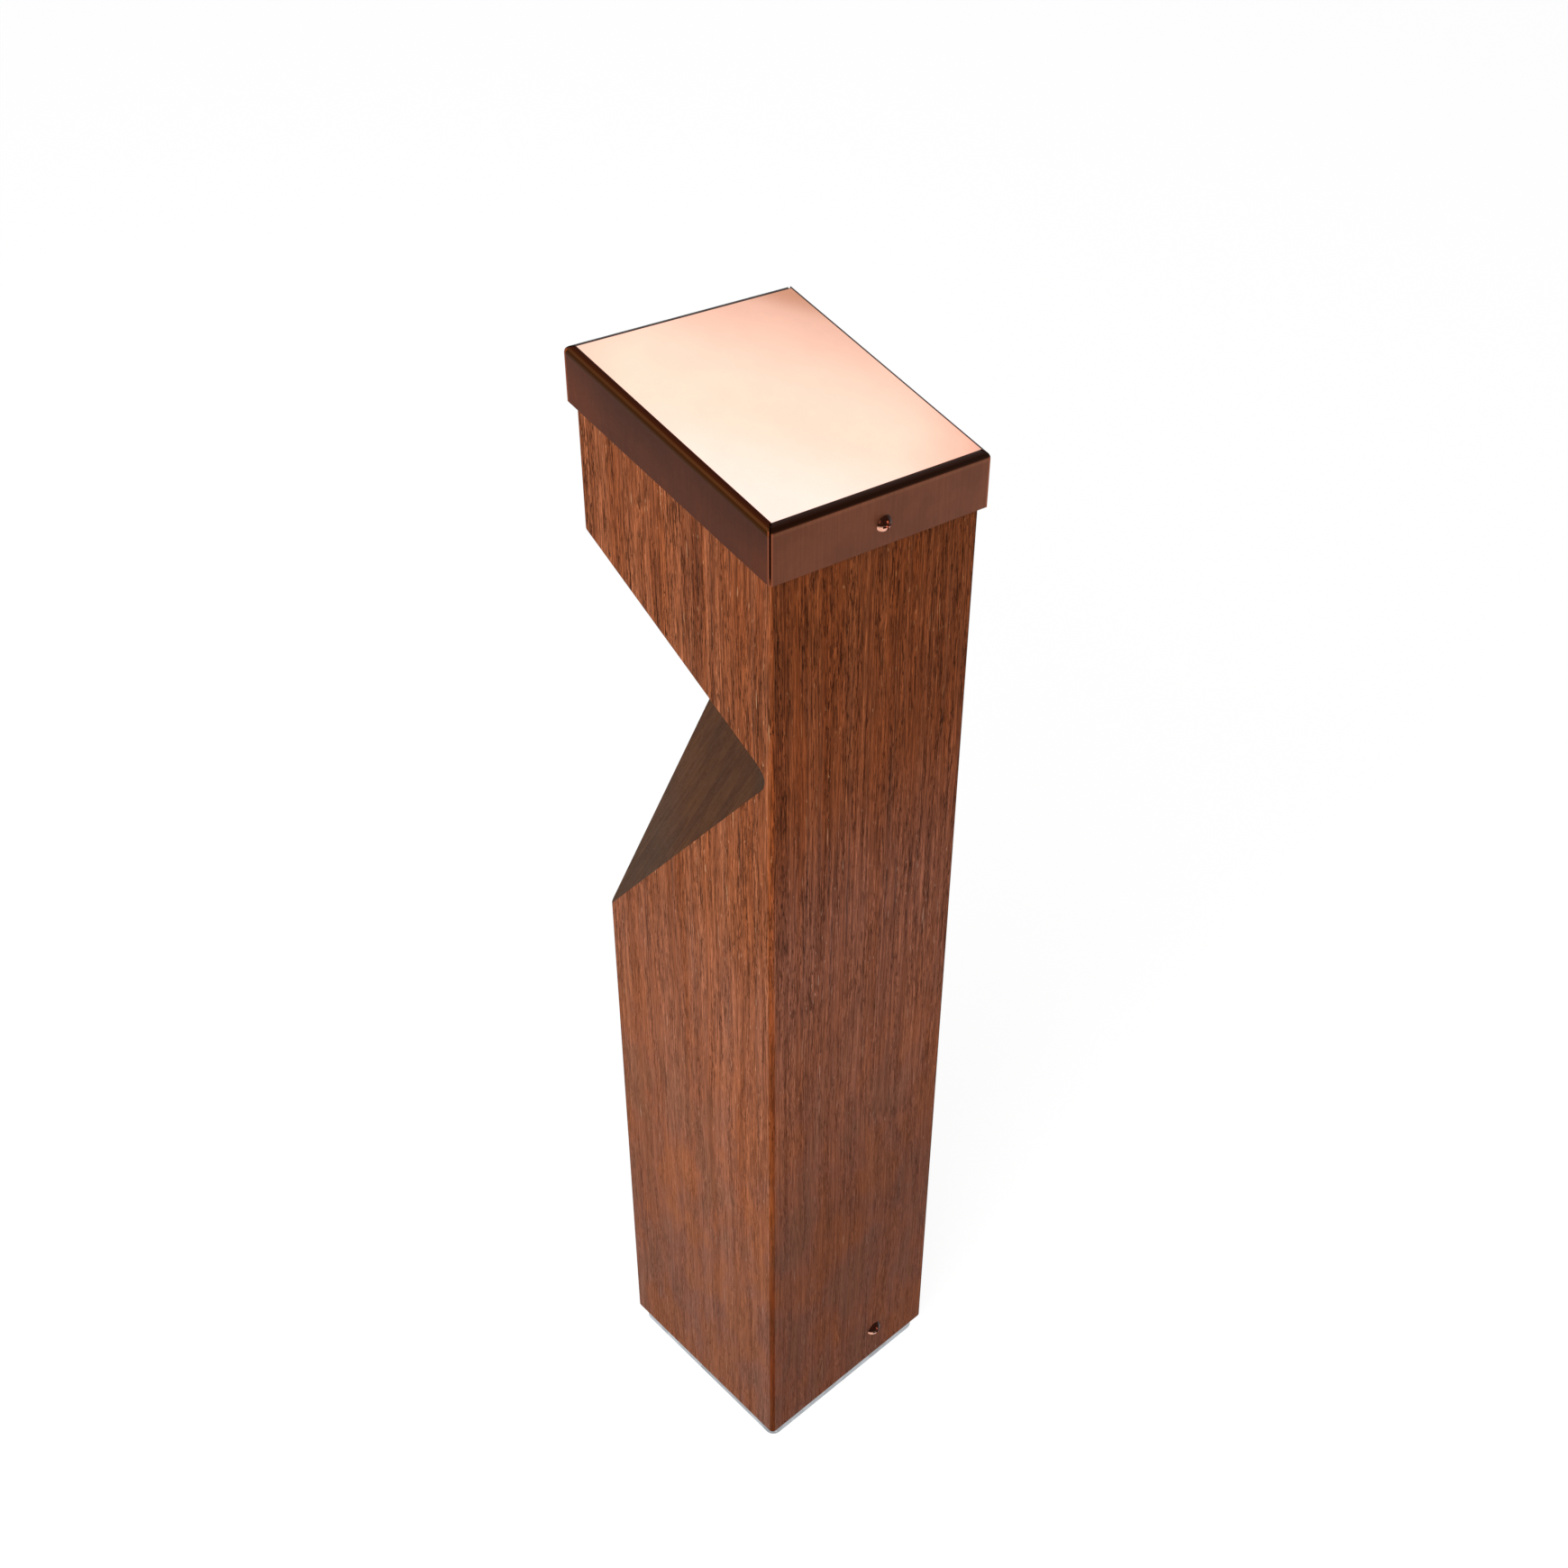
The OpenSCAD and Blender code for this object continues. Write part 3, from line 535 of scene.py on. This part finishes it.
def wood_cuts(r, wood, colour):
    """Across the grain the cut faces are darker, partly end grain that takes more oil and partly painted
    shade under the overhanging head, with painted grey shade at the valley and the lower rim
    """
    upright = r.absolute(r.split(r.normal)[2])
    outwards = r.larger(r.absolute(r.x), r.absolute(r.y))
    cut = r.larger(r.fade(upright, *CUT), r.fade(outwards, *INSIDE))
    # Painted grey shade at the valley and at the lower rim
    painted_grey_shade = r.larger(r.fade(r.z, *VALLEY_SHADE_Z), r.fade(r.z, *RIM_SHADE_Z))
    # The cut faces are darker, partly end grain and partly painted shade under the overhanging head
    shaded_cut_colour = r.blend(r.fade(wood["broad"], *NARROW), screen(86, 54, 34), screen(102, 65, 40))
    shaded_cut_colour = r.blend(r.product(painted_grey_shade, 0.7), shaded_cut_colour, screen(80, 60, 48))
    along_valley = r.product(r.plus(r.x, r.y), SQRT_HALF)
    slope = r.join(along_valley, 0, r.z)
    saw_lines = r.noise((2.6, 0, 0.030), detail=4, roughness=0.7, seed=17.4, place=slope)
    shaded_cut_colour = r.shade(shaded_cut_colour, r.fade(saw_lines, *WIDE, 0.66, 1.32))
    shaded_cut_colour = r.shade(shaded_cut_colour, r.fade(wood["fibres"], *FIBROUS, 0.88, 1.10))
    # The painted shade is paler towards the lower rim
    shaded_cut_colour = r.shade(shaded_cut_colour, r.fade(r.z, *RIM_PALER_SHADE_Z, 1.06, 1.45))
    return r.blend(cut, colour, shaded_cut_colour)


def hardwood():
    """Oiled hardwood with its grain along the post"""
    r = Recipe("hardwood")
    on_x = r.fade(r.absolute(r.split(r.normal)[0]), *ACROSS_X)
    wood = wood_noises(r)
    pores = wood_pores(r, wood)
    colour = wood_figure(r, wood, pores, on_x)
    colour = wood_tints_and_painted_light(r, colour, on_x)
    colour = wood_edges(r, colour)
    colour = wood_cuts(r, wood, colour)
    colour = r.shade(colour, r.minus(1.0, r.product(r.mark(EDGE_MARK), 0.45)))
    r.bump(pores, -0.12, 0.9)
    r.bump(wood["fibres"], 0.08, 0.7)
    roughness = r.plus(r.fade(wood["fibres"], *WIDE, 0.62, 0.74), r.product(pores, 0.2))
    return r.set(Base_Color=colour, Roughness=roughness, Specular_IOR_Level=0.05)


# Copper of the cap


def copper_top_painted_reflection(r, clouds):
    """The polished top with a painted reflection: whiter at its near corner and darker at the three others
    """
    nearer = r.plus(r.x, r.y)
    higher = r.minus(r.x, r.y)

    # Painted reflection: brightest at the near corner, darker towards the other corners
    # Millimetres of X plus Y, then of X minus Y
    colour = r.layers(
        nearer, screen(249, 205, 184),
        (10, 85, screen(251, 218, 206)),
        (5, -95, screen(216, 163, 141)))
    colour = r.layers(
        higher, colour,
        (60, 92, r.tint(colour, (0.86, 0.86, 0.85))),
        (-45, -95, r.tint(colour, (0.97, 0.70, 0.66))),
        (-80, -93, screen(202, 160, 140)))
    colour = r.layers(nearer, colour, (-66, -86, screen(192, 134, 106)))
    return r.shade(colour, r.fade(clouds, *NARROW, 0.98, 1.02))


def copper_flaps(r, clouds, depth, on_y):
    """The brown flaps with painted light: a little redder on the two faces across Y, and on the faces
    across X lighter towards their ends and further down
    """
    brushed = r.noise((1.6, 1.6, 0.05), detail=3, roughness=0.6, seed=3.7)
    # Painted light: the flaps across X lighter towards their ends and further down, the faces across Y
    # lighter and redder
    painted_light_to_ends = r.fade(r.absolute(r.y), *FLAP_PAINTED_LIGHT_Y, 1.0, 1.20)
    brown_x_painted_light = r.shade(screen(84, 36, 9), r.product(painted_light_to_ends, r.fade(depth, *FLAP_PAINTED_LIGHT_DEPTH, 0.76, 1.05)))
    brown = r.blend(on_y, brown_x_painted_light, screen(109, 60, 38))
    brown = r.shade(brown, r.fade(clouds, *NARROW, 0.90, 1.10))
    return r.shade(brown, r.fade(brushed, *WIDE, 0.92, 1.08))


def copper_folds_painted_reflection(r, brown, depth, on_y):
    """Painted reflection down the folds, by the depth below the top: dark beside it, a brown band, then
    dark again
    """
    painted_fold_x = r.layers(
        depth, screen(50, 19, 7),
        (0.15, 0.40, screen(60, 25, 9)),
        (0.65, 0.95, screen(76, 42, 20)),
        (1.40, 1.65, screen(58, 30, 9)),
        (1.95, 2.20, screen(66, 35, 13)),
        (2.90, 3.70, brown))
    painted_fold_y = r.layers(
        depth, screen(38, 16, 8),
        (0.20, 0.50, screen(32, 10, 1)),
        (1.15, 1.32, screen(52, 21, 5)),
        (1.45, 1.75, r.tint(brown, (1.18, 1.28, 1.30))),
        (2.40, 3.20, brown))
    return r.blend(on_y, painted_fold_x, painted_fold_y)


def polished_copper():
    """Copper sheet: polished where it faces up the slope, brown on the flaps, bright at cut edges; painted
    reflection on the top and down the folds, painted light on the flaps
    """
    r = Recipe("copper")
    depth = r.depth()
    clouds = r.even_noise(0.045, detail=4, roughness=0.6, seed=2.4)
    specks = r.even_noise(0.8, detail=3, roughness=0.7, seed=8.1)
    from_diagonal = r.minus(r.absolute(r.y), r.absolute(r.x))
    on_y = r.fade(from_diagonal, -0.5, 0.5)
    # Painted light on the flaps and painted reflection down the folds
    flaps = copper_folds_painted_reflection(r, copper_flaps(r, clouds, depth, on_y), depth, on_y)

    # The polish ends where the sheet starts to bend, and just inside the near and the far fold, where the
    # painted dark band of the fold begins
    flat = r.fade(r.dot(r.normal, TOP_NORMAL), *FLAT)
    polish = r.product(flat, r.fade(r.y, *POLISH_NEAR_Y), r.fade(r.y, *POLISH_FAR_Y))
    colour = r.blend(polish, flaps, copper_top_painted_reflection(r, clouds))

    # Cut edges, and the sheet beside the open seams, are rubbed
    from_seam = r.product(r.absolute(from_diagonal), SQRT_HALF)
    beside_seam = r.fade(from_seam, *BESIDE_SEAM)
    worn_and_painted_light = r.product(r.larger(r.mark(EDGE_MARK), beside_seam), r.fade(depth, *BELOW_FOLD))
    colour = r.blend(r.product(worn_and_painted_light, 0.75), colour, screen(150, 78, 46))

    roughness = r.product(r.minus(0.44, r.product(polish, 0.19)), r.fade(specks, *WIDE, 0.94, 1.06))
    r.bump(r.even_noise(0.022, detail=1, seed=12.6), 0.16, 0.35)
    return r.set(Base_Color=colour, Metallic=1.0, Roughness=roughness)


# Other materials


def screw_bronze():
    """Domed screws: a painted dark reflection where they face up, a painted bright reflection below"""
    r = Recipe("bronze_screws")
    upright = r.split(r.normal)[2]
    grains = r.even_noise(2.5, detail=3, roughness=0.6, seed=6.2)
    tone = r.fade(grains, *NARROW)
    # Painted reflection: bright on the lower half, dark on the upper half
    worn_and_painted_light = r.blend(tone, screen(226, 160, 134), screen(246, 186, 160))
    painted_dark_reflection = r.blend(tone, screen(34, 14, 8), screen(52, 25, 16))
    colour = r.blend(r.fade(upright, *UPPER_HALF), worn_and_painted_light, painted_dark_reflection)
    r.bump(grains, 0.008, 0.5)
    return r.set(Base_Color=colour, Metallic=1.0, Roughness=r.fade(grains, *WIDE, 0.17, 0.22))


def metal(name, light, dark, roughness, cloud_mm, grain_mm, depth_mm):
    """Bare or plated metal with clouds of tone and a fine grain"""
    r = Recipe(name)
    clouds = r.even_noise(1.0 / cloud_mm, detail=4, roughness=0.6, seed=1.9)
    grains = r.even_noise(1.0 / grain_mm, detail=3, roughness=0.6, seed=6.2)
    colour = r.blend(r.fade(clouds, *NARROW), screen(*dark), screen(*light))
    colour = r.shade(colour, r.fade(grains, *WIDE, 0.93, 1.05))
    rough = r.fade(grains, *WIDE, roughness * 0.85, roughness * 1.2)
    r.bump(grains, depth_mm, 0.6)
    return r.set(Base_Color=colour, Metallic=1.0, Roughness=rough)


def galvanised():
    """Zinc coated steel with its spangle"""
    r = Recipe("galvanised_steel")
    cells = r.tree.nodes.new("ShaderNodeTexVoronoi")
    r.feed(cells.inputs["Vector"], r.vector("MULTIPLY", r.place, (0.16, 0.16, 0.16)))
    cells.inputs["Scale"].default_value = 1.0
    tone = r.split(cells.outputs["Color"])[0]
    grains = r.even_noise(1.5, detail=3, roughness=0.6, seed=4.4)
    colour = r.blend(tone, screen(150, 154, 158), screen(192, 196, 200))
    colour = r.shade(colour, r.fade(grains, *WIDE, 0.92, 1.05))
    r.bump(tone, 0.015, 0.6)
    r.bump(grains, 0.01, 0.5)
    return r.set(Base_Color=colour, Metallic=1.0, Roughness=r.fade(tone, 0, 1, 0.36, 0.56))


def soft(name, light, dark, roughness, grain_mm, depth_mm):
    """Rubber, plastic or pad: two close tones and a fine grain"""
    r = Recipe(name)
    clouds = r.even_noise(0.12, detail=3, roughness=0.6, seed=5.3)
    grains = r.even_noise(1.0 / grain_mm, detail=3, roughness=0.65, seed=7.1)
    colour = r.blend(r.fade(clouds, *NARROW), screen(*dark), screen(*light))
    colour = r.shade(colour, r.fade(grains, *WIDE, 0.90, 1.08))
    rough = r.fade(grains, *WIDE, roughness * 0.9, roughness * 1.12)
    r.bump(grains, depth_mm, 0.6)
    return r.set(Base_Color=colour, Roughness=rough)


def clear(name, tint, roughness, ior):
    """Glass or clear silicone, faintly uneven"""
    r = Recipe(name)
    ripple = r.even_noise(0.15, detail=2, seed=3.3)
    smear = r.even_noise(0.5, detail=3, roughness=0.6, seed=8.8)
    rough = r.fade(smear, 0.4, 0.7, roughness, roughness + 0.04)
    r.bump(ripple, 0.01, 0.3)
    return r.set(Base_Color=screen(*tint), Roughness=rough, Transmission_Weight=1.0, IOR=ior)


def phosphor():
    """The yellow dome of the light emitter, with a faint glow"""
    r = Recipe("phosphor")
    grains = r.even_noise(3.0, detail=3, roughness=0.7, seed=2.8)
    colour = r.blend(r.fade(grains, *WIDE), screen(232, 190, 60), screen(248, 214, 96))
    glow = screen(255, 224, 160)
    r.bump(grains, 0.02, 0.5)
    return r.set(Base_Color=colour, Roughness=0.35, Emission_Color=glow, Emission_Strength=0.25)


def circuit_board():
    """White solder mask with traces under it"""
    r = Recipe("circuit_board")
    traces = r.even_noise(0.5, detail=1, seed=9.9)
    line = r.product(r.fade(traces, 0.47, 0.49), r.fade(traces, 0.53, 0.51))
    grains = r.even_noise(3.0, detail=2, seed=1.1)
    colour = r.blend(r.product(line, 0.5), screen(226, 228, 224), screen(196, 200, 190))
    colour = r.shade(colour, r.fade(grains, *WIDE, 0.96, 1.02))
    r.bump(line, 0.03, 0.6)
    return r.set(Base_Color=colour, Roughness=0.38)


def make_finishes():
    """One material for each slot of the record"""
    made = {
        "hardwood": hardwood(),
        "copper": polished_copper(),
        "bronze_screws": screw_bronze(),
        "galvanised_steel": galvanised(),
        "circuit_board": circuit_board(),
        "phosphor": phosphor(),
    }
    for recipe, table in ((metal, METALS), (soft, SOFTS), (clear, CLEARS)):
        for name, settings in table.items():
            made[name] = recipe(name, *settings)
    return made


# Pieces


def slot_name(material):
    """The record's name for a material, without the number that Blender may have added"""
    return material.name.split(".")[0]


def merge_flat(mesh):
    """Drops the imported shading and the lines inside flat faces, and shades the rest by its angles"""
    for attribute in IMPORTED_SHADING:
        if attribute in mesh.attributes:
            mesh.attributes.remove(mesh.attributes[attribute])
    solid = bmesh.new()
    solid.from_mesh(mesh)
    bmesh.ops.remove_doubles(solid, verts=solid.verts, dist=MERGE_DISTANCE)
    bmesh.ops.dissolve_limit(solid, angle_limit=FLAT_ANGLE, verts=solid.verts, edges=solid.edges)
    for face in solid.faces:
        face.smooth = True
        face.material_index = 0
    solid.to_mesh(mesh)
    solid.free()
    mesh.set_sharp_from_angle(angle=SMOOTH_ANGLE)


def ease_edges(piece, width_mm):
    """Rounds the sharp edges: the new faces take the second material slot"""
    bevel = piece.modifiers.new("eased", "BEVEL")
    bevel.limit_method = "ANGLE"
    bevel.angle_limit = SHARP_ANGLE
    bevel.width = width_mm * MM
    bevel.segments = BEVEL_STEPS
    bevel.material = EDGE_SLOT
    weighted = piece.modifiers.new("flat faces stay flat", "WEIGHTED_NORMAL")
    weighted.keep_sharp = True
    graph = bpy.context.evaluated_depsgraph_get()
    piece.data = bpy.data.meshes.new_from_object(piece.evaluated_get(graph))
    piece.modifiers.clear()


def mark_edges(piece):
    """Keeps which faces are eased ones as a mark, and gives up their own slot"""
    marks = piece.data.attributes.new(EDGE_MARK, "FLOAT", "FACE")
    for index, face in enumerate(piece.data.polygons):
        marks.data[index].value = float(face.material_index)
        face.material_index = 0
    piece.data.materials.pop(index=EDGE_SLOT)


def eased_copy(node, width_mm):
    """Stands for a CAD node: the same shape with its sharp edges eased and marked"""
    slot = slot_name(nodes[node].material_slots[0].material)
    mesh = nodes[node].data.copy()
    mesh.materials.clear()
    merge_flat(mesh)
    piece = link_new("visual_" + node, mesh)

    # The second slot is there for the eased edges, until they are marked
    mesh.materials.append(finishes[slot])
    mesh.materials.append(finishes[slot])
    ease_edges(piece, width_mm)
    mark_edges(piece)
    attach(piece, "root")
    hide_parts(node)


def finish_nodes():
    """Every node that stays takes the finish of its slot"""
    for node in nodes.values():
        for slot in node.material_slots:
            slot.material = finishes[slot_name(slot.material)]


make_camera()
make_floor()
make_sky()
softbox("key", (0.80, 0.30, 0.55), POST_MIDDLE, distance=1.8, size=(1.2, 1.2), radiance=5.3)
softbox("mirror", (-0.635, -0.338, 0.695), TOP_MIDDLE, distance=1.6, size=(1.75, 1.16), radiance=0.34)
finishes = make_finishes()
for node, width_mm in EASED_MM.items():
    eased_copy(node, width_mm)
finish_nodes()
